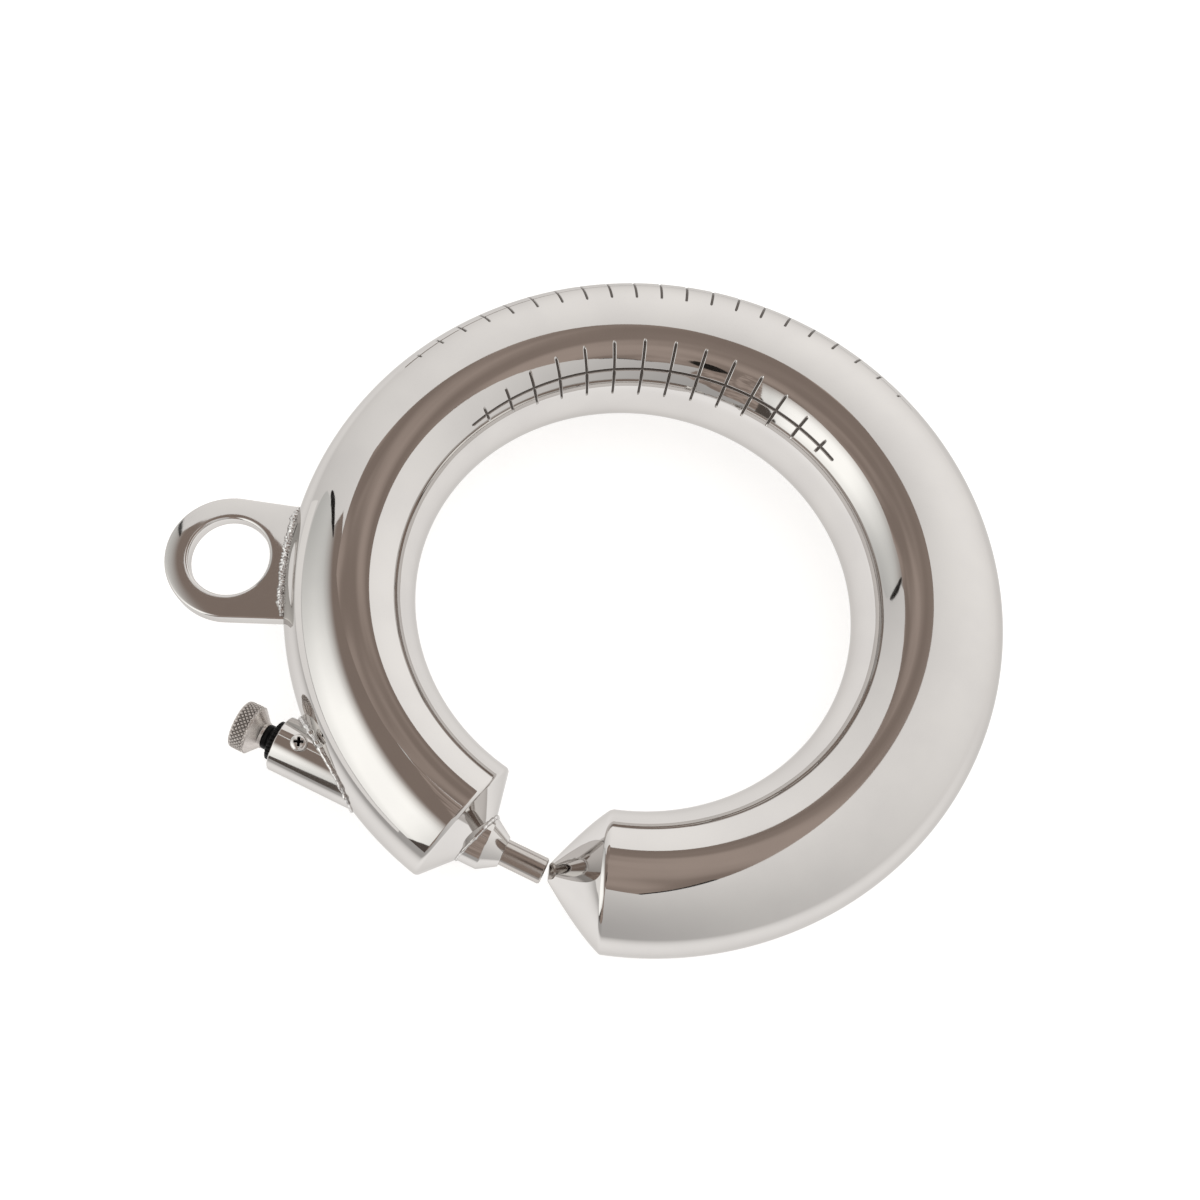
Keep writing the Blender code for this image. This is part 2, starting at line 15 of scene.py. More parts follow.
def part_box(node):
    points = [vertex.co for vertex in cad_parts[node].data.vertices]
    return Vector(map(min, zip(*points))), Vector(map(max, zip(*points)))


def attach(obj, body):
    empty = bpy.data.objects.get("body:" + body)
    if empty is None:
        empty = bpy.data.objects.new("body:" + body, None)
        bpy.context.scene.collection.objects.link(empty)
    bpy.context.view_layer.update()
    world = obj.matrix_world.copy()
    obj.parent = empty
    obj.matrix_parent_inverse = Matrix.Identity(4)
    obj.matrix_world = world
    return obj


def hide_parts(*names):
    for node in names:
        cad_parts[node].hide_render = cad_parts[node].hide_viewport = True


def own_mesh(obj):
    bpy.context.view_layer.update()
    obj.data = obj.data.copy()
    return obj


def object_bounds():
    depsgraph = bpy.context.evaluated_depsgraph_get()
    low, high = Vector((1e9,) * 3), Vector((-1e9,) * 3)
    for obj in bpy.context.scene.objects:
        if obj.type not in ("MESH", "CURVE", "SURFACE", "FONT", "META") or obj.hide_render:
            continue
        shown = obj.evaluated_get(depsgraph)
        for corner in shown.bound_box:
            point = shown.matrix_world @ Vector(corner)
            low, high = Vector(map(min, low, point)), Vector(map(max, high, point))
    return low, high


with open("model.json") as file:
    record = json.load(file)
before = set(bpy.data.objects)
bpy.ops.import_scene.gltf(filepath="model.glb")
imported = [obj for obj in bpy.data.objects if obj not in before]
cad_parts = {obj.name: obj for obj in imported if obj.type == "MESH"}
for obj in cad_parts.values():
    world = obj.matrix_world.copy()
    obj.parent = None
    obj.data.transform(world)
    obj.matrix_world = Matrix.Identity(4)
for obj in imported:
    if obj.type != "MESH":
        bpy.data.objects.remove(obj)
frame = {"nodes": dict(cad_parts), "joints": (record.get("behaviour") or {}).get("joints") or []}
cad_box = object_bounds()
TAU = 2 * math.pi

# ---------------------------------------------------------------- places read from the frame
ring_low, ring_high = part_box("ring_body")
BAR = (ring_high.z - ring_low.z) / 2
RING = (ring_high.x - ring_low.x) / 2 - BAR
CENTRE = Vector(((ring_low.x + ring_high.x) / 2, ring_high.y - RING - BAR, ring_low.z + BAR))
spin_joint = next(j for j in frame["joints"] if j["name"] == "plunger_spin")
LOCK = Vector(spin_joint["pos_m"])
PIN_END = math.radians(259.05)
FREE_END = math.radians(-71.85)
END_REACH = math.radians(9.0)            # how far from an end its bar is drawn out to meet the end's face
FREE_LEAN = math.tan(math.radians(8.7))
PIN_SKEW = math.tan(math.radians(5.0))
PIN_CONE_HALF = math.radians(63.0)


def along_lock(node):
    """(rear, front) of a node along the lock line."""
    low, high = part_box(node)
    return low.x - LOCK.x, high.x - LOCK.x


# ---------------------------------------------------------------- mesh makers
def finish_mesh(bm, name, look, body, replaced, bevel=0.0, segments=3):
    """The object made from bm, riding on its body in place of the CAD nodes in replaced."""
    bmesh.ops.remove_doubles(bm, verts=bm.verts, dist=1e-7)
    bmesh.ops.recalc_face_normals(bm, faces=bm.faces)
    mesh = bpy.data.meshes.new(name)
    bm.to_mesh(mesh)
    bm.free()
    mesh.shade_smooth()
    piece = bpy.data.objects.new(name, mesh)
    bpy.context.scene.collection.objects.link(piece)
    mesh.materials.append(look)
    if bevel:
        rounding = piece.modifiers.new("rounded_edges", "BEVEL")
        rounding.width = bevel
        rounding.segments = segments
        rounding.limit_method = "WEIGHT"
        rounding.harden_normals = True
    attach(piece, body)
    if replaced:
        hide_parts(*replaced)
    return piece


def grid(bm, rows, close_all=False, sharp=(), depths=None):
    """Faces between closed rows of points. close_all joins the last row to the first as well.
    The edges along the rows in sharp are marked for the bevel, with a weight for each place if it gives some.
    depths tells how far each point is sunk, from 0 to 1, for the painted shade in hollows."""
    weight = bm.edges.layers.float.get("bevel_weight_edge") or bm.edges.layers.float.new("bevel_weight_edge")
    sunk = bm.verts.layers.float.new("engraving") if depths else None
    made = [[bm.verts.new(p) for p in row] for row in rows]
    if depths:
        for row, depth_row in zip(made, depths):
            for vert, depth in zip(row, depth_row):
                vert[sunk] = depth
    size = len(made[0])
    for i in range(len(made) if close_all else len(made) - 1):
        here, there = made[i], made[(i + 1) % len(made)]
        for j in range(size):
            k = (j + 1) % size
            bm.faces.new((here[j], here[k], there[k], there[j]))
    for i in sharp:
        for j in range(size):
            edge = bm.edges.get((made[i][j], made[i][(j + 1) % size]))
            if edge:
                edge[weight] = sharp[i][j] if isinstance(sharp, dict) else 1.0
    return made


def lock_point(along, radius, turn):
    """A place round the lock line, turned from straight up towards the ring's centre."""
    return Vector((LOCK.x + along, LOCK.y + radius * math.sin(turn), LOCK.z + radius * math.cos(turn)))


def lathe(name, profile, look, body, replaced, sides=96, bevel=0.0003, closed=False):
    """Profile of (along, radius) turned about the lock line."""
    bm = bmesh.new()
    rows = [[lock_point(s, r, TAU * j / sides) for j in range(sides)] for s, r in profile]
    sharp = [i for i, (s, r) in enumerate(profile) if r > 0 and (closed or 0 < i < len(profile) - 1)]
    grid(bm, rows, close_all=closed, sharp=sharp)
    return finish_mesh(bm, name, look, body, replaced, bevel=bevel)


# ---------------------------------------------------------------- node materials
def nodes_of(name):
    made = bpy.data.materials.new(name)
    made.use_nodes = True
    tree = made.node_tree
    return made, tree, tree.nodes["Principled BSDF"]


def noise_node(tree, scale, detail=3.0, stretch=None):
    """Noise fixed to the object, drawn out along the axes by stretch."""
    coords = tree.nodes.new("ShaderNodeTexCoord")
    texture = tree.nodes.new("ShaderNodeTexNoise")
    texture.inputs["Scale"].default_value = scale
    texture.inputs["Detail"].default_value = detail
    source = coords.outputs["Object"]
    if stretch:
        mapping = tree.nodes.new("ShaderNodeMapping")
        mapping.inputs["Scale"].default_value = stretch
        tree.links.new(source, mapping.inputs["Vector"])
        source = mapping.outputs["Vector"]
    tree.links.new(source, texture.inputs["Vector"])
    return texture


def ramp(tree, source, low, high, start=0.35, end=0.65):
    """A value that goes softly from low to high as the source goes from start to end."""
    node = tree.nodes.new("ShaderNodeMapRange")
    node.interpolation_type = "SMOOTHSTEP"
    node.inputs["From Min"].default_value = start
    node.inputs["From Max"].default_value = end
    node.inputs["To Min"].default_value = low
    node.inputs["To Max"].default_value = high
    tree.links.new(source, node.inputs["Value"])
    return node.outputs["Result"]


def maths(tree, operation, *values):
    """A maths node on sockets and numbers."""
    node = tree.nodes.new("ShaderNodeMath")
    node.operation = operation
    for socket, value in zip(node.inputs, values):
        if isinstance(value, (int, float)):
            socket.default_value = value
        else:
            tree.links.new(value, socket)
    return node.outputs[0]


def two_colours(tree, factor, first, second):
    node = tree.nodes.new("ShaderNodeMix")
    node.data_type = "RGBA"
    node.inputs["A"].default_value = (*first, 1)
    node.inputs["B"].default_value = (*second, 1)
    tree.links.new(factor, node.inputs["Factor"])
    return node.outputs["Result"]


def add_bump(tree, shader, height, strength, distance, under=None):
    bump = tree.nodes.new("ShaderNodeBump")
    bump.inputs["Strength"].default_value = strength
    bump.inputs["Distance"].default_value = distance
    tree.links.new(height, bump.inputs["Height"])
    if under:
        tree.links.new(under, bump.inputs["Normal"])
    tree.links.new(bump.outputs["Normal"], shader.inputs["Normal"])
    return bump.outputs["Normal"]


def steel(name, colour, tint, rough_low, rough_high, cloud=35.0, wave=0.0, hair=0.0, hair_stretch=(1, 1, 1)):
    """Stainless steel: cloudy colour and roughness, long soft waves of hand polishing, fine hairlines."""
    made, tree, shader = nodes_of(name)
    shader.inputs["Metallic"].default_value = 1.0
    shader.inputs["Specular Tint"].default_value = (0.7, 0.69, 0.68, 1)
    clouds = noise_node(tree, cloud)
    tree.links.new(two_colours(tree, ramp(tree, clouds.outputs["Fac"], 0, 1), colour, tint),
                   shader.inputs["Base Color"])
    tree.links.new(ramp(tree, clouds.outputs["Fac"], rough_low, rough_high), shader.inputs["Roughness"])
    under = None
    if wave:
        under = add_bump(tree, shader, noise_node(tree, 28.0, 1.0).outputs["Fac"], 1.0, wave)
    if hair:
        hairs = noise_node(tree, 1.0, 2.0, hair_stretch)
        add_bump(tree, shader, hairs.outputs["Fac"], 1.0, hair, under)
    return made


def paint_shade_in_hollows(made, colour, roughness):
    """Paints shade into the hollows of a mesh, from its engraving attribute: a darker colour, and a duller
    roughness there.
    """
    tree = made.node_tree
    shader = tree.nodes["Principled BSDF"]
    mark = tree.nodes.new("ShaderNodeAttribute")
    mark.attribute_name = "engraving"
    for socket, value in (("Base Color", (*colour, 1.0)), ("Roughness", roughness)):
        link = shader.inputs[socket].links[0].from_socket
        mix = tree.nodes.new("ShaderNodeMix")
        mix.data_type = "RGBA" if socket == "Base Color" else "FLOAT"
        tree.links.new(mark.outputs["Fac"], mix.inputs["Factor"])
        ends = [s for s in mix.inputs if s.enabled and s.name in ("A", "B")]
        tree.links.new(link, ends[0])
        ends[1].default_value = value
        tree.links.new(next(s for s in mix.outputs if s.enabled), shader.inputs[socket])
    return made


def plain(name, colour, roughness, bump_scale, bump_depth, spread=0.15):
    """Plastic or rubber: a moulded skin with slight colour and roughness variation."""
    made, tree, shader = nodes_of(name)
    clouds = noise_node(tree, 180.0)
    lighter = tuple(min(1.0, c * (1 + 4 * spread)) for c in colour)
    tree.links.new(two_colours(tree, ramp(tree, clouds.outputs["Fac"], 0, 1), colour, lighter),
                   shader.inputs["Base Color"])
    tree.links.new(ramp(tree, clouds.outputs["Fac"], roughness * (1 - spread), roughness * (1 + spread)),
                   shader.inputs["Roughness"])
    add_bump(tree, shader, noise_node(tree, bump_scale).outputs["Fac"], 0.5, bump_depth)
    return made


# The ring's engraved grooves get painted shade: a dark colour in their hollows, with a duller roughness.
MIRROR = paint_shade_in_hollows(steel("mirror_polished_ring", (0.68, 0.66, 0.642), (0.655, 0.635, 0.62), 0.03, 0.05,
                            wave=0.00002), (0.14, 0.125, 0.115), 0.4)
POLISHED = steel("polished_steel", (0.67, 0.65, 0.632), (0.64, 0.62, 0.605), 0.05, 0.09, wave=0.00002)
SATIN = steel("satin_steel", (0.66, 0.635, 0.61), (0.60, 0.575, 0.555), 0.2, 0.28, hair=0.000006,
              hair_stretch=(1800, 90, 90))
TURNED = steel("turned_steel", (0.54, 0.51, 0.485), (0.47, 0.44, 0.42), 0.16, 0.24, hair=0.000005,
               hair_stretch=(2600, 60, 60))
# The screw's cross recess is painted near black: painted shade in the recess.
HEAD = paint_shade_in_hollows(steel("screw_steel", (0.72, 0.70, 0.68), (0.66, 0.64, 0.62), 0.16, 0.22, cloud=300.0),
                    (0.006, 0.005, 0.005), 0.9)
# The knurl's grooves are painted dark: painted shade in the grooves.
KNURLED = paint_shade_in_hollows(steel("knurled_steel", (0.60, 0.56, 0.53), (0.56, 0.52, 0.495), 0.24, 0.3,
                             cloud=600.0), (0.05, 0.04, 0.035), 0.6)
BEAD = steel("weld_bead", (0.80, 0.79, 0.78), (0.55, 0.53, 0.52), 0.08, 0.2, cloud=700.0)
SPRING = steel("spring_wire", (0.60, 0.59, 0.58), (0.52, 0.51, 0.50), 0.25, 0.35, cloud=500.0)
BRONZE = steel("liner_bronze", (0.62, 0.42, 0.20), (0.50, 0.33, 0.16), 0.35, 0.45, cloud=500.0)
BLACK = plain("black_acetal", (0.003, 0.003, 0.0032), 0.28, 900.0, 0.00003)
BLACK.node_tree.nodes["Principled BSDF"].inputs["Specular IOR Level"].default_value = 0.15
RUBBER = plain("black_rubber", (0.02, 0.02, 0.02), 0.7, 1400.0, 0.00005)

# ---------------------------------------------------------------- ring with its end cones and engraved marks
MARK_HALF_WIDTH = 0.00062
MARK_DEPTH = 0.0007
ACROSS_MARK = (-1.35, -1, -0.72, -0.4, 0, 0.4, 0.72, 1, 1.35)    # mesh lines across a groove, in half widths
ACROSS_LINE_END = (-1, -0.5, 0, 0.5, 1)


def mark_set(section, first, last, tick_count, line_start, line_end, half_length):
    """A line along the ring crossed by ticks that grow towards its middle. Angles are in degrees.
    section tells where the line lies round the bar, and half_length is half the longest tick there."""
    ticks = []
    for i in range(tick_count):
        share = math.sin(math.pi * (i + 1) / (tick_count + 1))
        angle = first + (last - first) * i / (tick_count - 1)
        ticks.append((math.radians(angle), math.radians(half_length * share)))
    return {"section": math.radians(section), "ticks": ticks,
            "line": (math.radians(line_end), math.radians(line_start))}


INNER_MARKS = mark_set(section=140.4, first=154.1, last=63.2, tick_count=14, line_start=158.7,
                       line_end=58.8, half_length=23.6)
OUTER_MARKS = mark_set(section=51.5, first=156.8, last=61.7, tick_count=21, line_start=160.2,
                       line_end=58.4, half_length=21.8)


def engraving(angle, section):
    """How deep the marks are at a place on the ring, from 0 to 1."""
    deepest = 0.0
    reach = RING + BAR * math.cos(section)
    for marks in (INNER_MARKS, OUTER_MARKS):
        across = (section - marks["section"]) * BAR
        low, high = marks["line"]
        past = max(low - angle, angle - high, 0.0) * reach
        if past < 2 * MARK_HALF_WIDTH:
            deepest = max(deepest, groove(math.hypot(across, past)))
        for tick, half in marks["ticks"]:
            side = (angle - tick) * reach
            if abs(side) < 2 * MARK_HALF_WIDTH:
                past = max(abs(across) - half * BAR, 0.0)
                deepest = max(deepest, groove(math.hypot(side, past)))
    return deepest


def groove(distance):
    """Depth of a groove, from 0 to 1, at a distance from its middle: a flat bottom with soft walls."""
    share = (MARK_HALF_WIDTH - distance) / (0.55 * MARK_HALF_WIDTH)
    share = min(max(share, 0.0), 1.0)
    return share * share * (3 - 2 * share)


def spaced(start, end, step):
    """Even places from start up to but not including end, about a step apart."""
    count = max(1, round(abs(end - start) / step))
    return [start + (end - start) * i / count for i in range(count)]


def merge_places(*lists, closest):
    """One rising list of places, without those that crowd an earlier list's places."""
    kept = []
    for places in lists:
        for place in places:
            if all(abs(place - other) > closest for other in kept):
                kept.append(place)
    return sorted(kept)


def ring_angles():
    """Places of the rows of points along the ring: close together at the marks."""
    fine = []
    for marks in (INNER_MARKS, OUTER_MARKS):
        reach = RING + BAR * math.cos(marks["section"])
        half_width = MARK_HALF_WIDTH / reach
        for tick, _ in marks["ticks"]:
            fine += [tick + share * half_width for share in ACROSS_MARK]
        fine += [place + share * half_width for place in marks["line"] for share in ACROSS_LINE_END]
    coarse = spaced(FREE_END, PIN_END, math.radians(1.25))[1:]
    return merge_places([FREE_END, PIN_END], fine, coarse, closest=math.radians(0.06))


def ring_sections():
    """Places round the bar: closest at the marks' lines, and closer than elsewhere along the ticks."""
    fine = []
    for marks in (INNER_MARKS, OUTER_MARKS):
        fine += [marks["section"] + share * MARK_HALF_WIDTH / BAR for share in ACROSS_MARK]
    medium = spaced(math.radians(114), math.radians(166), math.radians(1.3))
    medium += spaced(math.radians(28), math.radians(76), math.radians(1.3))
    coarse = spaced(math.radians(-90), math.radians(270), math.radians(2.8))
    return merge_places(fine, medium, coarse, closest=math.radians(0.3))


def ring_point(angle, section, depth):
    reach = RING + (BAR - depth) * math.cos(section)
    height = (BAR - depth) * math.sin(section)
    return CENTRE + Vector((reach * math.cos(angle), reach * math.sin(angle), height))


def bar_end(angle, into_gap):
    """(place, outward, along) of a bar end."""
    out = Vector((math.cos(angle), math.sin(angle), 0))
    along = Vector((-math.sin(angle), math.cos(angle), 0)) * into_gap
    return CENTRE + out * RING, out, along


def end_shift(angle, section):
    """How far a place moves round the ring, so that the bar ends in the leaning or skewed face of a cone."""
    outward, height = BAR * math.cos(section), BAR * math.sin(section)
    near_free = max(0.0, 1 - (angle - FREE_END) / END_REACH)
    near_pin = max(0.0, 1 - (PIN_END - angle) / END_REACH)
    return -(height * FREE_LEAN * near_free + outward * PIN_SKEW * near_pin) / (RING + outward)


def cone_row(end, sections, radius, ahead, lean=0.0, skew=0.0):
    """Points round an end's cone: ahead of its base, which leans with height or is cut back outwards."""
    place, out, along = end
    row = []
    for s in sections:
        outward, height = radius * math.cos(s) + ahead * skew, radius * math.sin(s)
        reached = ahead + height * lean - outward * skew
        row.append(place + out * outward + Vector((0, 0, height)) + along * reached)
    return row


def make_ring():
    bm = bmesh.new()
    sections = ring_sections()
    rows, depths = [], []
    free_tip, free_length, free_swell, pin_tip = 0.0033, 0.0227, 0.0062, 0.009
    free_steps, pin_steps = 14, 9

    end = bar_end(FREE_END, -1)
    for radius in (0.0, 0.0012, 0.0024):
        rows.append(cone_row(end, sections, radius, free_length))
    for i in range(free_steps):
        share = i / free_steps
        swell = free_swell * share * (1 - share) * (0.75 + 0.5 * share)
        row = cone_row(end, sections, free_tip + (BAR - free_tip) * share + swell, free_length * (1 - share),
                       FREE_LEAN * share)
        rows.append(row)
    free_tip_row, free_base_row = 3, len(rows)
    depths += [[0.0] * len(sections)] * len(rows)
    for angle in ring_angles():
        # The marks' depths both sink the surface and mask the painted shade in the grooves.
        depth_row = [engraving(angle, s) for s in sections]
        rows.append([ring_point(angle + end_shift(angle, s), s, depth * MARK_DEPTH)
                     for s, depth in zip(sections, depth_row)])
        depths.append(depth_row)
    pin_base_row = len(rows) - 1
    end = bar_end(PIN_END, 1)
    for i in range(1, pin_steps + 1):
        radius = BAR - (BAR - pin_tip) * i / pin_steps
        rows.append(cone_row(end, sections, radius, (BAR - radius) / math.tan(PIN_CONE_HALF), skew=PIN_SKEW))
        depths.append([0.0] * len(sections))
    # Shares of the bevel's width: the free end's rim is rounder on its inner side.
    tip_share, pin_share = 0.3, 0.8
    free_shares = [0.62 - 0.38 * math.cos(s + math.radians(50)) for s in sections]
    grid(bm, rows, sharp={free_tip_row: [tip_share] * len(sections), free_base_row: free_shares,
                          pin_base_row: [pin_share] * len(sections)}, depths=depths)
    return finish_mesh(bm, "polished_ring", MIRROR, "ring", ("ring_body", "free_end_cone", "pin_end_cone"),
                       bevel=0.0016, segments=5)


# ---------------------------------------------------------------- weld beads
def bead(name, centres, radii, closed, replaced, seed, ripple=0.0, grain=0.06):
    """A weld bead along a run of points: molten lumps, finer grain, and ripples across it."""
    bm = bmesh.new()
    count = len(centres)
    sides, ripple_pitch = 18, 0.0015
    lump, lump_scale, grain_scale = 0.42, 420, 1700
    rows = []
    travelled = 0.0
    for i, centre in enumerate(centres):
        ahead = centres[(i + 1) % count] if closed or i < count - 1 else centre
        behind = centres[i - 1] if closed or i > 0 else centre
        tangent = (ahead - behind).normalized()
        side = tangent.cross(Vector((0, 0, 1))).normalized()
        upward = side.cross(tangent)
        travelled += (centre - centres[i - 1]).length if i else 0.0
        wave = ripple * math.sin(TAU * travelled / ripple_pitch + 2 * noise.noise(centre * 300))
        taper = 1.0 if closed else min(1.0, 0.35 + 6 * min(i, count - 1 - i) / count)
        row = []
        for j in range(sides):
            turn = TAU * j / sides
            direction = side * math.cos(turn) + upward * math.sin(turn)
            spot = centre + direction * radii[i]
            coarse = lump * noise.noise(spot * lump_scale + Vector((seed, 0, 0)))
            fine = grain * noise.noise(spot * grain_scale + Vector((0, seed, 0)))
            row.append(centre + direction * radii[i] * taper * (1 + wave + coarse + fine))
        rows.append(row)
    made = grid(bm, rows, close_all=closed)
    if not closed:
        bm.faces.new(made[0])
        bm.faces.new(made[-1])
    return finish_mesh(bm, name, BEAD, "ring", replaced)


def halved(outside, inside, is_clear):
    """The last place from outside to inside that is still clear, found by halving."""
    for _ in range(40):
        middle = (outside + inside) / 2
        if is_clear(middle):
            outside = middle
        else:
            inside = middle
    return outside


def ring_distance(point):
    """Distance from the bar's surface, below zero inside it."""
    local = point - CENTRE
    return math.hypot(math.hypot(local.x, local.y) - RING, local.z) - BAR


def pin_cone_distance(point):
    """Distance from the surface of the cone that holds the lock."""
    place, out, along = bar_end(PIN_END, 1)
    local = point - place
    outward = local.dot(out)
    ahead = local.dot(along) + outward * PIN_SKEW
    reach = math.hypot(outward - ahead * PIN_SKEW, local.z)
    return ahead * math.sin(PIN_CONE_HALF) + (reach - BAR) * math.cos(PIN_CONE_HALF)


def lock_bead(name, tube, radius, thin_side, stand_off, distance, outside, inside, replaced, seed):
    """Bead round a tube on the lock line where it meets a surface, thinner away from the ring's middle.
    thin_side is the share of its radius left there. Its middle stands off both by stand_off radii."""
    count = 420
    centres, radii = [], []
    for i in range(count):
        turn = TAU * i / count
        wobble = 1 + 0.3 * noise.noise(Vector((math.cos(turn) * 5, math.sin(turn) * 5, seed)))
        size = radius * wobble * (thin_side + (1 - thin_side) * (0.5 + 0.5 * math.sin(turn + 0.3)))
        reach = tube + size * stand_off
        along = halved(outside, inside, lambda s: distance(lock_point(s, reach, turn)) > size * stand_off)
        centres.append(lock_point(along, reach, turn))
        radii.append(size)
    return bead(name, centres, radii, True, replaced, seed)


EYE_TURN = math.radians(199.7)
EYE_HALF_THICK = 0.004


def eye_point(along, across, height):
    """A place on the pad eye: along out from the ring's centre, across, above the bar's middle."""
    out = Vector((math.cos(EYE_TURN), math.sin(EYE_TURN), 0))
    side = Vector((-math.sin(EYE_TURN), math.cos(EYE_TURN), 0))
    return CENTRE + out * along + side * across + Vector((0, 0, height))


def eye_bead(name, side, replaced, seed):
    """Bead along the pad eye's root, above it where side is 1 and below it where side is -1."""
    radius, half_length, count = 0.0018, 0.0256, 200
    off_plate, off_bar = 0.3 * radius, 0.45 * radius
    height = side * (EYE_HALF_THICK + off_plate)
    reach = RING + math.sqrt((BAR + off_bar) ** 2 - height ** 2)
    half = half_length / reach
    centres = []
    for i in range(count):
        turn = half * (2 * i / (count - 1) - 1)
        wobble = 0.0003 * noise.noise(Vector((turn * 90, seed, 0)))
        centres.append(eye_point((reach + wobble) * math.cos(turn), reach * math.sin(turn), height))
    return bead(name, centres, [radius] * count, False, replaced, seed, ripple=0.1, grain=0.34)


# ---------------------------------------------------------------- pad eye
def make_pad_eye():
    """Plate with a round hole. Rows of points run round it, from the hole over the top and back below."""
    reach, radius, hole, root_half, half_thick = 0.1752, 0.0286, 0.0179, 0.0268, EYE_HALF_THICK
    rounding, edge, dome = 0.0014, 0.0011, 0.00018
    fall_start, fall_width, fall_depth = 0.004, 0.024, 0.0016
    root_x = math.sqrt((RING + BAR) ** 2 - root_half ** 2) - reach
    slope = math.atan2(root_half, root_x)
    tangent = slope - math.acos(radius / math.hypot(root_x, root_half))
    inner_x = root_x - 0.004
    corners = [math.atan2(root_half, inner_x), math.atan2(root_half, root_x)]
    turns = spaced(0, tangent, 0.06) + spaced(tangent, corners[1], 0.05)
    turns += spaced(corners[1], corners[0], 0.02) + spaced(corners[0], math.pi, 0.06)
    turns = turns + [math.pi] + [TAU - t for t in reversed(turns[1:])]

    def edge_distance(turn):
        turn = min(turn, TAU - turn)
        if turn <= tangent:
            return radius
        if turn <= corners[1]:
            return radius / math.cos(turn - tangent)
        if turn <= corners[0]:
            return root_half / math.sin(turn)
        return inner_x / math.cos(turn)

    arc = [math.pi / 2 * i / 6 for i in range(7)]
    flat = [i / 8 for i in range(1, 8)]
    upper = [(0, rounding * (1 - math.cos(q)), half_thick - dome - rounding * (1 - math.sin(q))) for q in arc]
    upper += [(share, rounding * (1 - share) - edge * share, half_thick - dome * (2 * share - 1) ** 2)
              for share in flat]
    upper += [(1, -edge * (1 - math.cos(q)), half_thick - dome - edge * (1 - math.sin(q)))
              for q in reversed(arc)]
    lower = [(share, inset, -height) for share, inset, height in reversed(upper)]
    rows = []
    for share, inset, height in upper + lower:
        row = []
        for turn in turns:
            outer = edge_distance(turn)
            place = hole + (outer - hole) * share + inset
            across = place * math.sin(turn)
            fall = min(max((-across - fall_start) / fall_width, 0.0), 1.0)
            height_here = height - math.copysign(fall_depth * fall * fall, height)
            row.append(eye_point(reach + place * math.cos(turn), across, height_here))
        rows.append(row)
    bm = bmesh.new()
    grid(bm, rows, close_all=True)
    return finish_mesh(bm, "pad_eye_plate", POLISHED, "ring", ("pad_eye",))


# ---------------------------------------------------------------- lock pieces
HOUSING_RADIUS, NOSE_RADIUS = 0.012, 0.0112


def make_lock():
    rear, front = along_lock("plunger_housing")
    bore, radius, chamfer = 0.008, HOUSING_RADIUS, 0.0004
    profile = [(rear, bore), (rear, radius - chamfer), (rear + chamfer, radius), (front, radius),
               (front, bore)]
    lathe("housing_tube", profile, POLISHED, "ring", ("plunger_housing",), sides=128, bevel=0.00012,
          closed=True)

    _, front = along_lock("nose_bush")
    bore, tip, radius, shoulder, back = 0.0058, 0.0064, NOSE_RADIUS, -0.0105, -0.0287
    profile = [(front, bore), (front, tip), (shoulder, radius), (back, radius), (back, bore)]
    lathe("nose_cone", profile, POLISHED, "ring", ("nose_bush",), sides=128, bevel=0.00025,
          closed=True)

    rear, front = along_lock("lock_pin")
    radius, chamfer, collar, collar_front = 0.0055, 0.0006, 0.0076, -0.0353
    socket, socket_depth = 0.0033, 0.014
    profile = [(front, 0), (front, radius - chamfer), (front - chamfer, radius), (collar_front, radius),
               (collar_front, collar), (rear, collar), (rear, socket), (rear + socket_depth, socket),
               (rear + socket_depth, 0)]
    lathe("lock_pin_body", profile, TURNED, "plunger", ("lock_pin",), bevel=0.00015)

    rear, front = along_lock("pull_rod")
    radius = 0.0030
    profile = [(front, 0), (front, radius), (rear, radius), (rear, 0)]
    lathe("pull_rod_body", profile, SATIN, "plunger", ("pull_rod",), sides=48, bevel=0.0002)


def make_knob():
    """Knurled band with rounded shoulders, a domed end, and a smooth cone down to the neck."""
    rear, front = along_lock("pull_knob")
    band_front, band_rear, radius, swell = -0.1177, -0.1244, 0.0106, 0.00035
    bore, mouth, neck, cone_front = 0.0033, 0.0052, 0.0057, front - 0.0009
    sides, starts, knurl_depth = 448, 32, 0.00065
    cone_steps, band_steps, dome_steps = 8, 40, 8
    profile = [(front, bore, 0), (front, mouth, 0), (front - 0.0004, neck, 0), (cone_front, neck, 0)]
    for i in range(1, cone_steps + 1):
        share = i / cone_steps
        profile.append((cone_front + (band_front - cone_front) * share, neck + (radius - neck) * share, 0))
    for i in range(band_steps + 1):
        share = i / band_steps
        bulge = swell * (1 - (2 * share - 1) ** 6)
        profile.append((band_front + (band_rear - band_front) * share, radius - swell + bulge, 1))
    for i in range(1, dome_steps + 1):
        turn = math.pi / 2 * i / dome_steps
        along = band_rear - (band_rear - rear) * math.sin(turn)
        profile.append((along, (radius - swell) * math.cos(turn), 0))
    bm = bmesh.new()
    rows, depths = [], []
    pitch = TAU * radius / starts
    for along, reach, knurled in profile:
        row, depth_row = [], []
        for j in range(sides):
            turn = TAU * j / sides
            depth = 0.0
            if knurled:
                around = starts * turn / TAU
                ahead = (along - band_rear) / pitch
                first = abs(((around + ahead) % 1) - 0.5) * 2
                second = abs(((around - ahead) % 1) - 0.5) * 2
                from_edge = min(along - band_rear, band_front - along) / (band_front - band_rear)
                fade = min(1.0, 6 * from_edge + 0.15)
                depth = fade * (1 - min(first, second, 0.7) / 0.7)
            row.append(lock_point(along, reach - knurl_depth * depth, turn))
            # The deeper part of each knurl groove masks the painted shade.
            depth_row.append(max(0.0, depth - 0.35) / 0.65)
        rows.append(row)
        depths.append(depth_row)
    grid(bm, rows, depths=depths)
    return finish_mesh(bm, "pull_knob_body", KNURLED, "plunger", ("pull_knob",))


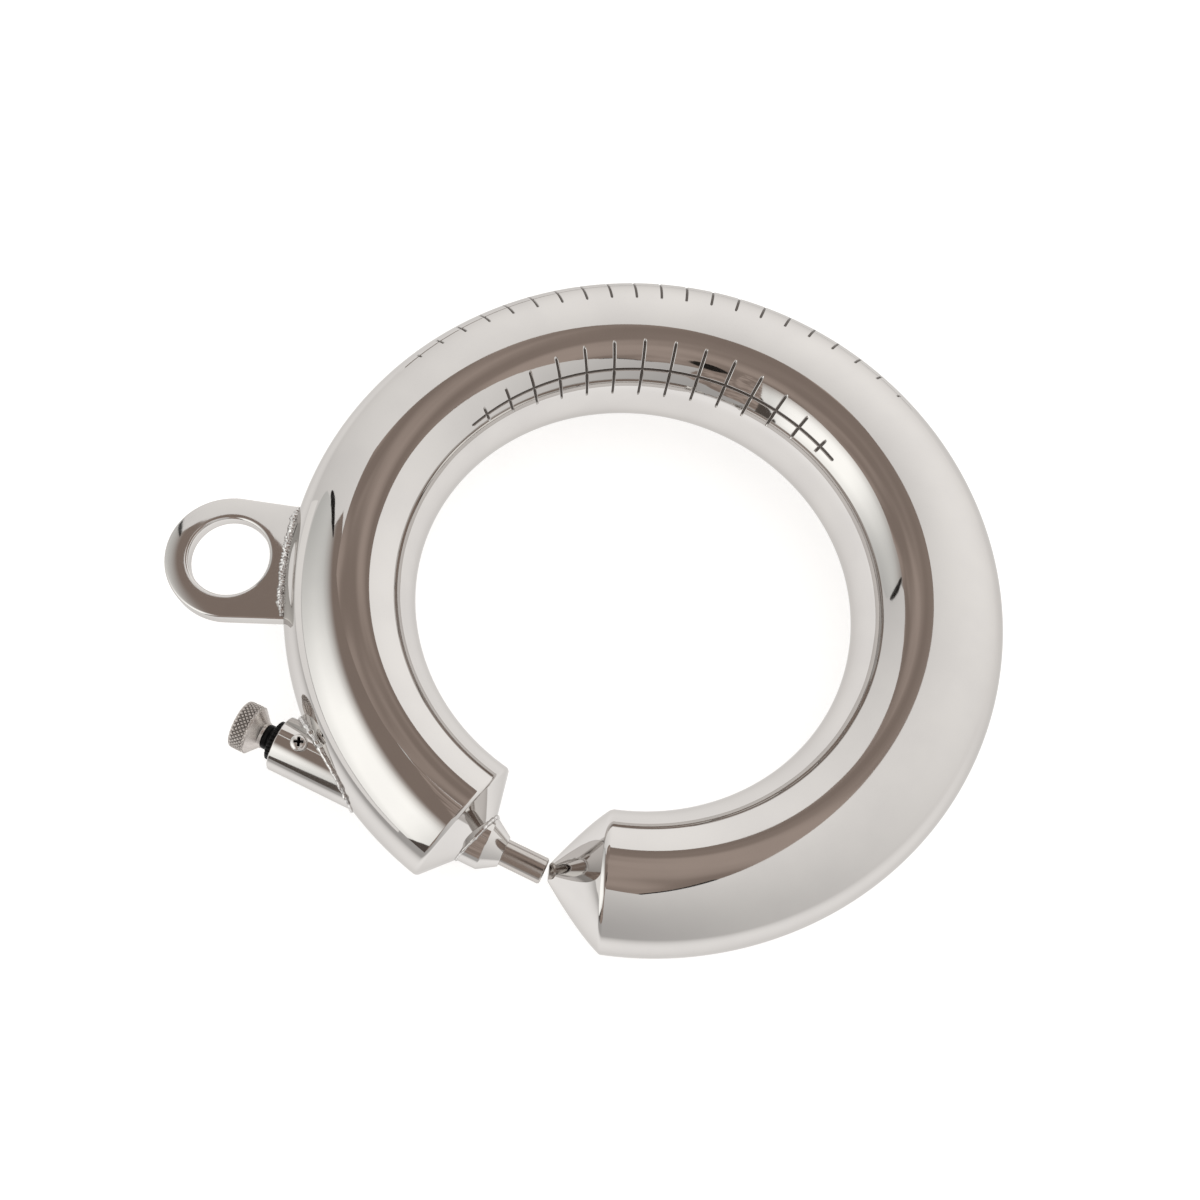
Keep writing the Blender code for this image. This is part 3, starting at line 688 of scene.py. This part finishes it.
def make_guide_bush():
    """Black bush: a serrated flange on the housing's mouth and a ribbed neck."""
    rear, front = along_lock("guide_bush")
    mouth = along_lock("plunger_housing")[0] - 0.0002
    flange_end = -0.1086
    sides, teeth, notch_depth = 288, 32, 0.00065
    bore, shank, flange, neck, ring_groove = 0.00325, 0.0077, 0.0086, 0.0054, 0.0050
    profile = [(front, bore, 0), (front, shank, 0), (mouth, shank, 0), (mouth, flange - 0.0002, 0)]
    profile += [(mouth - step, flange, 1) for step in (0.0003, 0.0010, 0.0014, 0.0019)]
    profile += [(flange_end + 0.0004, flange, 1), (flange_end, flange - 0.0006, 1), (flange_end, neck, 0),
                (flange_end - 0.0008, neck, 0), (flange_end - 0.0010, ring_groove, 0),
                (flange_end - 0.0014, ring_groove, 0), (flange_end - 0.0016, neck, 0), (rear, neck, 0),
                (rear, bore, 0)]
    bm = bmesh.new()
    rows = []
    for along, reach, toothed in profile:
        row = []
        for j in range(sides):
            turn = TAU * j / sides
            notch = 0.0
            if toothed:
                wave = 0.5 + 0.5 * math.cos(turn * teeth)
                notch = notch_depth * wave ** 3
            row.append(lock_point(along, reach - notch, turn))
        rows.append(row)
    grid(bm, rows, close_all=True, sharp=(0, 1, 3, 10, 15, 16))
    return finish_mesh(bm, "guide_bush_body", BLACK, "ring", ("guide_bush",), bevel=0.0001)


def make_screw():
    """Pan head screw, its crown sunk in a cross recess."""
    tilt = math.radians(8.0)
    up = Vector((0, math.sin(tilt), math.cos(tilt)))
    side = Vector((0, math.cos(tilt), -math.sin(tilt)))
    base = LOCK + Vector((-0.0955, 0, 0))
    tip, shank, seat, head, crown = 0.0055, 0.0018, 0.0121, 0.0036, 0.0023
    rim_height = 0.0008
    rim = seat + rim_height
    arm_width, arm_reach, arm_wall, arm_turn = 0.00044, 0.0021, 0.0002, 0.42
    deepest, end_depth, end_slope = 0.0012, 0.0005, 0.7
    sides, steps = 160, 34
    profile = [(tip, 0.0), (tip, shank), (seat, shank), (seat, head - 0.0001), (seat + 0.0001, head)]
    profile += [(rim, head)]
    for i in range(1, steps + 1):
        turn = math.pi / 2 * i / steps
        profile.append((rim + (crown - rim_height) * math.sin(turn) ** 0.8, head * math.cos(turn)))
    rows, depths = [], []
    for height, radius in profile:
        row, depth_row = [], []
        for j in range(sides):
            turn = TAU * j / sides
            x, y = radius * math.cos(turn - arm_turn), radius * math.sin(turn - arm_turn)
            sunk = inside = 0.0
            if height > rim:
                across, ahead = sorted((abs(x), abs(y)))
                within = min(arm_width + arm_wall - across, arm_reach - ahead)
                inside = min(max(within / arm_wall, 0.0), 1.0)
                sunk = inside * min(deepest, end_depth + max(arm_reach - ahead, 0.0) * end_slope)
            row.append(base + up * (height - sunk) + Vector((1, 0, 0)) * (radius * math.cos(turn))
                       + side * (radius * math.sin(turn)))
            # inside masks the painted shade of the cross recess.
            depth_row.append(inside)
        rows.append(row)
        depths.append(depth_row)
    bm = bmesh.new()
    grid(bm, rows, sharp=(2, 3), depths=depths)
    return finish_mesh(bm, "bush_screw_body", HEAD, "ring", ("bush_screw",))


def make_spring():
    """Round wire coil along the lock line, in a mesh of its own; the real spring is squashed along it as the
    pin is pulled.
    """
    rear, front = along_lock("return_spring")
    wire, coil = 0.0008, 0.0059
    turns, per_turn, sides = 10, 40, 12
    first, last = front - wire, rear + wire
    bm = bmesh.new()
    rows = []
    count = turns * per_turn
    for i in range(count + 1):
        turn = TAU * i / per_turn
        along = first + (last - first) * i / count
        row = []
        for j in range(sides):
            around = TAU * j / sides
            row.append(lock_point(along + wire * math.sin(around), coil + wire * math.cos(around), turn))
        rows.append(row)
    made = grid(bm, rows)
    bm.faces.new(made[0])
    bm.faces.new(made[-1])
    spring = finish_mesh(bm, "return_spring_coil", SPRING, "ring", ("return_spring",))
    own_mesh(spring)
    return spring


make_ring()
lock_bead("housing_weld_bead", HOUSING_RADIUS, radius=0.00125, thin_side=0.5, stand_off=0.35,
          distance=ring_distance, outside=-0.110, inside=-0.050, replaced=("housing_weld",), seed=3.0)
lock_bead("nose_weld_bead", NOSE_RADIUS, radius=0.0009, thin_side=0.55, stand_off=0.1,
          distance=pin_cone_distance, outside=0.0, inside=-0.030, replaced=("nose_weld",), seed=7.0)
eye_bead("eye_weld_top_bead", side=1, replaced=("pad_eye_weld_top",), seed=11.0)
eye_bead("eye_weld_bottom_bead", side=-1, replaced=("pad_eye_weld_bottom",), seed=17.0)
make_pad_eye()
make_lock()
make_knob()
make_guide_bush()
make_screw()
make_spring()

HIDDEN_LOOKS = {"nose_liner": BRONZE, "pin_wiper": RUBBER, "bump_washer": RUBBER, "rod_seal": RUBBER,
                "rear_spring_washer": SATIN, "thrust_washer": SATIN}
for node, look in HIDDEN_LOOKS.items():
    mesh = frame["nodes"][node].data
    mesh.materials.clear()
    mesh.materials.append(look)


# ---------------------------------------------------------------- studio
# A bright cloth tent over a pale floor. Its cards stand for what mirror polish would reflect there.
def glow(name, colour, strength):
    """A material that only gives light."""
    made = bpy.data.materials.new(name)
    made.use_nodes = True
    tree = made.node_tree
    tree.nodes.remove(tree.nodes["Principled BSDF"])
    light = tree.nodes.new("ShaderNodeEmission")
    light.inputs["Color"].default_value = (*colour, 1)
    light.inputs["Strength"].default_value = strength
    tree.links.new(light.outputs["Emission"], tree.nodes["Material Output"].inputs["Surface"])
    return made


def card(name, corners, look):
    """A sheet that shows only in reflections. Corners are from the ring's centre."""
    bm = bmesh.new()
    verts = [bm.verts.new(CENTRE + Vector(c)) for c in corners]
    middle = bm.verts.new(sum((v.co for v in verts), Vector()) / len(verts))
    for i, vert in enumerate(verts):
        bm.faces.new((vert, verts[(i + 1) % len(verts)], middle))
    mesh = bpy.data.meshes.new(name)
    bm.to_mesh(mesh)
    bm.free()
    sheet = bpy.data.objects.new(name, mesh)
    bpy.context.scene.collection.objects.link(sheet)
    mesh.materials.append(look)
    sheet.visible_camera = False
    sheet.visible_diffuse = False
    sheet.visible_shadow = False


def ceiling(corners, height):
    """Corners of a level card above the ring, from (x, y)."""
    return [(x, y, height) for x, y in corners]


def cloudy_glow(name, dark, light, scale, low=0.35, high=0.65):
    """An emitting sheet whose colour drifts in soft clouds, like cloth seen out of focus."""
    made = glow(name, light, 1.0)
    tree = made.node_tree
    clouds = noise_node(tree, scale, 1.5)
    tree.links.new(two_colours(tree, ramp(tree, clouds.outputs["Fac"], 0, 1, low, high), dark, light),
                   tree.nodes["Emission"].inputs["Color"])
    return made


ROOM_DARK, ROOM_LIGHT = (0.27, 0.215, 0.185), (0.44, 0.36, 0.315)
ROOM = cloudy_glow("dim_room", ROOM_DARK, ROOM_LIGHT, 9.0)
BLACK_CLOTH = glow("black_cloth", (0.02, 0.018, 0.016), 1.0)


def oval(centre, half_x, half_y, start=0, end=360, steps=48):
    """Points round an oval, from one angle to another in degrees."""
    turns = [math.radians(start + (end - start) * i / steps) for i in range(steps + 1)]
    return [(centre[0] + half_x * math.cos(turn), centre[1] + half_y * math.sin(turn)) for turn in turns]


# The tent's top is an oval hole, open to the room, with the side towards the west wall cut away.
HOLE_CENTRE, HOLE_HALF_X, HOLE_HALF_Y, HOLE_HEIGHT = (-0.085, -0.090), 0.219, 0.250, 0.250
HOLE_START, HOLE_END = -22, 128
HOLE_WEST_SIDE = [(-0.215, 0), (-0.100, -0.060), (-0.008, -0.065), (-0.008, -0.188)]
RIM_WIDTH = 0.005
hole_edge = oval(HOLE_CENTRE, HOLE_HALF_X, HOLE_HALF_Y, HOLE_START, HOLE_END)
rim_edge = oval(HOLE_CENTRE, HOLE_HALF_X, HOLE_HALF_Y, HOLE_START, 0, 12)
rim_edge += oval(HOLE_CENTRE, HOLE_HALF_X - RIM_WIDTH, HOLE_HALF_Y, 0, HOLE_START, 12)
card("tent_opening", ceiling(hole_edge + HOLE_WEST_SIDE, HOLE_HEIGHT), ROOM)
card("black_flag", ceiling(oval((0.025, -0.125), 0.019, 0.038)[:-1], HOLE_HEIGHT - 0.002), BLACK_CLOTH)
card("opening_rim", ceiling(rim_edge, HOLE_HEIGHT - 0.001), BLACK_CLOTH)

# The room's edges, from the ring's centre.
WALL_X = -0.357
ROOM_NORTH, ROOM_SOUTH, ROOM_EAST, ROOM_TOP = 0.45, -1.7, 0.06, 2.5


def west_wall_look():
    """Bright cloth with a slanting soft top, above which the room shows, and a dark foot at its south end."""
    made = glow("west_wall", (1, 1, 1), 1.0)
    tree = made.node_tree
    coords = tree.nodes.new("ShaderNodeTexCoord")
    split = tree.nodes.new("ShaderNodeSeparateXYZ")
    tree.links.new(coords.outputs["Object"], split.inputs["Vector"])
    south = maths(tree, "SUBTRACT", CENTRE.y, split.outputs["Y"])
    height = maths(tree, "SUBTRACT", split.outputs["Z"], CENTRE.z)

    # The soft top climbs towards the south, and the room's colour shows above it.
    slant = maths(tree, "DIVIDE", height, maths(tree, "ADD", south, 0.33))
    top = ramp(tree, slant, 1.0, 0.0, start=0.6, end=1.5)

    # The dark foot is level, then climbs, and stops short of the north end.
    past_bend = maths(tree, "MAXIMUM", maths(tree, "SUBTRACT", south, 0.88), 0.0)
    rise = maths(tree, "MULTIPLY", past_bend, 1.3)
    foot = ramp(tree, maths(tree, "SUBTRACT", height, rise), 0.0, 1.0, start=0.018, end=0.05)
    footless = ramp(tree, south, 1.0, 0.0, start=0.66, end=0.70)

    # The cloth is brightest in the middle of its length, and brighter higher up.
    north_part = ramp(tree, south, 0.74, 1.45, start=-0.01, end=0.28)
    power = maths(tree, "MULTIPLY", north_part, ramp(tree, south, 1.0, 0.7, start=0.65, end=1.3))
    power = maths(tree, "MULTIPLY", power, ramp(tree, height, 0.86, 1.0, start=0.05, end=0.2))
    white = tree.nodes.new("ShaderNodeVectorMath")
    white.operation = "SCALE"
    white.inputs[0].default_value = (0.995, 1.0, 0.975)
    tree.links.new(power, white.inputs["Scale"])
    body = two_colours(tree, top, ROOM_DARK, (1, 1, 1))
    tree.links.new(white.outputs["Vector"], body.node.inputs["B"])
    whole = two_colours(tree, maths(tree, "MAXIMUM", foot, footless), (0.10, 0.085, 0.075), (1, 1, 1))
    tree.links.new(body, whole.node.inputs["B"])
    tree.links.new(whole, tree.nodes["Emission"].inputs["Color"])
    return made


def on_wall(points, ahead=0.0):
    """Points of the west wall from (y, z)."""
    return [(WALL_X + ahead, y, z) for y, z in points]


WALL_EDGE, WALL_FOOT, WALL_CORNER = 0.038, 0.048, 0.050
wall_corner = oval((WALL_EDGE - WALL_CORNER, WALL_FOOT + WALL_CORNER), WALL_CORNER, WALL_CORNER, -90, 0, 8)
card("west_wall", on_wall(wall_corner + [(WALL_EDGE, 0.29), (0.11, 0.42), (ROOM_NORTH, ROOM_TOP),
                                         (ROOM_SOUTH, ROOM_TOP), (ROOM_SOUTH, WALL_FOOT)]), west_wall_look())
card("west_wall_frame", on_wall(oval((WALL_EDGE + 0.006, 0.235), 0.008, 0.105)[:-1], 0.001), BLACK_CLOTH)
card("floor_beyond", on_wall([(0.02, -0.028), (0.02, 0.04), (-0.8, 0.04), (-0.8, -0.028)]),
     glow("floor_beyond", (1.0, 0.985, 0.965), 1.0))
card("room_top", [(WALL_X, ROOM_NORTH, ROOM_TOP), (ROOM_EAST, ROOM_NORTH, ROOM_TOP),
                  (ROOM_EAST, ROOM_SOUTH, ROOM_TOP), (WALL_X, ROOM_SOUTH, ROOM_TOP)], ROOM)
card("room_south", [(WALL_X, ROOM_SOUTH, 0.2), (0.0, ROOM_SOUTH, 0.2), (0.5, ROOM_SOUTH, 0.7),
                    (ROOM_EAST, ROOM_SOUTH, ROOM_TOP), (WALL_X, ROOM_SOUTH, ROOM_TOP)], ROOM)

# The tent's cloth: a smooth change from grey to white along TENT_SLOPE.
TENT_SLOPE = Vector((0.08, 0.33, 0.04))
TENT_GREY, TENT_WHITE = (0.465, 0.455, 0.445), (1.155, 1.14, 1.12)
world = bpy.data.worlds.new("tent")
bpy.context.scene.world = world
world.use_nodes = True
tree = world.node_tree
background = tree.nodes["Background"]
coords = tree.nodes.new("ShaderNodeTexCoord")
dot = tree.nodes.new("ShaderNodeVectorMath")
dot.operation = "DOT_PRODUCT"
dot.inputs[1].default_value = TENT_SLOPE.normalized()
tree.links.new(coords.outputs["Generated"], dot.inputs[0])
sky = ramp(tree, dot.outputs["Value"], 0, 1, start=-1.0, end=1.0)
sky.node.interpolation_type = "LINEAR"
tree.links.new(two_colours(tree, sky, TENT_GREY, TENT_WHITE), background.inputs["Color"])

# The floor that the camera sees, and the brighter one that the metal reflects.
FLOOR_SIZE, FLOOR_EMISSION = 6, 0.55
floor_look, _, floor_shader = nodes_of("pale_floor")
floor_shader.inputs["Base Color"].default_value = (0.8, 0.79, 0.78, 1)
floor_shader.inputs["Roughness"].default_value = 0.9
floor_shader.inputs["Specular IOR Level"].default_value = 0.1
floor_shader.inputs["Emission Color"].default_value = (1, 1, 1, 1)
floor_shader.inputs["Emission Strength"].default_value = FLOOR_EMISSION
bpy.ops.mesh.primitive_plane_add(size=FLOOR_SIZE, location=(0, 0, cad_box[0][2]))
floor = bpy.context.object
floor.name = "floor"
floor.data.materials.append(floor_look)
floor.visible_glossy = False

FLOOR_REACH, FADE_START, FADE_END = 0.45, 0.20, 0.42


def floor_glow_look():
    """Bright cloudy floor that fades away with distance from the ring's middle."""
    made = cloudy_glow("floor_glow", (1.03, 1.015, 1.0), (1.13, 1.12, 1.11), 3.0)
    tree = made.node_tree
    coords = tree.nodes.new("ShaderNodeTexCoord")
    radius = tree.nodes.new("ShaderNodeVectorMath")
    radius.operation = "DISTANCE"
    radius.inputs[1].default_value = (CENTRE.x, CENTRE.y, CENTRE.z - BAR)
    tree.links.new(coords.outputs["Object"], radius.inputs[0])
    blend = tree.nodes.new("ShaderNodeMixShader")
    clear = tree.nodes.new("ShaderNodeBsdfTransparent")
    tree.links.new(ramp(tree, radius.outputs["Value"], 0.0, 1.0, FADE_START, FADE_END), blend.inputs[0])
    tree.links.new(tree.nodes["Emission"].outputs["Emission"], blend.inputs[1])
    tree.links.new(clear.outputs["BSDF"], blend.inputs[2])
    tree.links.new(blend.outputs["Shader"], tree.nodes["Material Output"].inputs["Surface"])
    return made


card("floor_seen_in_metal", [(x * FLOOR_REACH, y * FLOOR_REACH, -BAR + 0.0001)
                             for x, y in ((-1, -1), (1, -1), (1, 1), (-1, 1))], floor_glow_look())

# ---------------------------------------------------------------- camera
# It looks down at the ring from the side with the gap. Its place, from the ring's centre, and its axes are
# given in a frame that is turned by VIEW_TURN from the part's.
VIEW_TURN = Matrix.Rotation(math.radians(26.1), 3, "Z")
CAMERA_PLACE = Vector((-0.074176, -0.160566, 0.423970))
CAMERA_RIGHT, CAMERA_BACK = Vector((0.99881, 0.00697, -0.04827)), Vector((0.04827, -0.28271, 0.95799))
lens = bpy.data.cameras.new("camera")
lens.lens = 31.5
lens.sensor_width = 36
lens.shift_x = 0.16009
lens.shift_y = 0.06465
camera = bpy.data.objects.new("camera", lens)
bpy.context.scene.collection.objects.link(camera)
right = (VIEW_TURN @ CAMERA_RIGHT).normalized()
back = (VIEW_TURN @ CAMERA_BACK).normalized()
upward = back.cross(right)
camera.matrix_world = (Matrix.Translation(CENTRE + VIEW_TURN @ CAMERA_PLACE)
                       @ Matrix((right, upward, back)).transposed().to_4x4())
bpy.context.scene.camera = camera
bpy.context.scene.view_settings.view_transform = "Standard"
